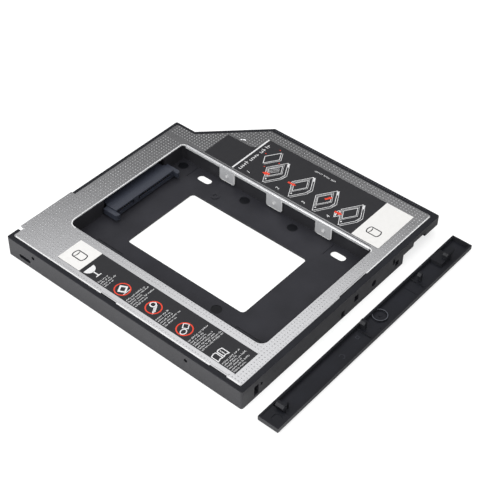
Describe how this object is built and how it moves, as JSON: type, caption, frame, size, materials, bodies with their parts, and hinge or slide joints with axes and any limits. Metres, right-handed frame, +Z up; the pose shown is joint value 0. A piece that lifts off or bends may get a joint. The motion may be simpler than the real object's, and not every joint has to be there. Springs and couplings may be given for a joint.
{
  "type": "laptop drive caddy",
  "caption": "Slim tray that holds a 2.5 inch drive in a laptop's optical bay: black frame, stamped metal top plate, drive socket, labels and a detached faceplate.",
  "frame": {"origin": "lower edge of the frame's front face, on its centre line", "axes": "+X to the right along the front face, +Y rearwards, the way the caddy slides into the bay, +Z up"},
  "size_m": [0.128, 0.1435, 0.0097],
  "materials": {
    "frame_plastic": "matte",
    "plate_metal": "satin, embossed",
    "black_film": "satin",
    "white_print": "satin",
    "connector_plastic": "satin",
    "contact_gold": "polished",
    "board_laminate": "satin",
    "screw_steel": "satin",
    "capacitor_ceramic": "matte",
    "resistor_ceramic": "matte",
    "bezel_plastic": "matte"
  },
  "bodies": {
    "root": {"base_frame": "frame_plastic", "bay_connector_body": "connector_plastic", "bay_power_contact_01": "contact_gold", "bay_power_contact_02": "contact_gold", "bay_power_contact_03": "contact_gold", "bay_power_contact_04": "contact_gold", "bay_power_contact_05": "contact_gold", "bay_power_contact_06": "contact_gold", "bay_signal_contact_01": "contact_gold", "bay_signal_contact_02": "contact_gold", "bay_signal_contact_03": "contact_gold", "bay_signal_contact_04": "contact_gold", "bay_signal_contact_05": "contact_gold", "bay_signal_contact_06": "contact_gold", "bay_signal_contact_07": "contact_gold", "board_screw_left": "screw_steel", "board_screw_right": "screw_steel", "care_label": "black_film", "care_label_panel": "white_print", "chip_capacitor_left": "capacitor_ceramic", "chip_capacitor_right": "capacitor_ceramic", "chip_resistor_left": "resistor_ceramic", "chip_resistor_right": "resistor_ceramic", "circuit_board": "board_laminate", "drive_connector_body": "connector_plastic", "drive_power_contact_01": "contact_gold", "drive_power_contact_02": "contact_gold", "drive_power_contact_03": "contact_gold", "drive_power_contact_04": "contact_gold", "drive_power_contact_05": "contact_gold", "drive_power_contact_06": "contact_gold", "drive_power_contact_07": "contact_gold", "drive_power_contact_08": "contact_gold", "drive_power_contact_09": "contact_gold", "drive_power_contact_10": "contact_gold", "drive_power_contact_11": "contact_gold", "drive_power_contact_12": "contact_gold", "drive_power_contact_13": "contact_gold", "drive_power_contact_14": "contact_gold", "drive_power_contact_15": "contact_gold", "drive_signal_contact_01": "contact_gold", "drive_signal_contact_02": "contact_gold", "drive_signal_contact_03": "contact_gold", "drive_signal_contact_04": "contact_gold", "drive_signal_contact_05": "contact_gold", "drive_signal_contact_06": "contact_gold", "drive_signal_contact_07": "contact_gold", "front_bezel": "bezel_plastic", "steps_label": "black_film", "steps_label_panel": "white_print", "top_plate": "plate_metal"}
  },
  "joints": []
}
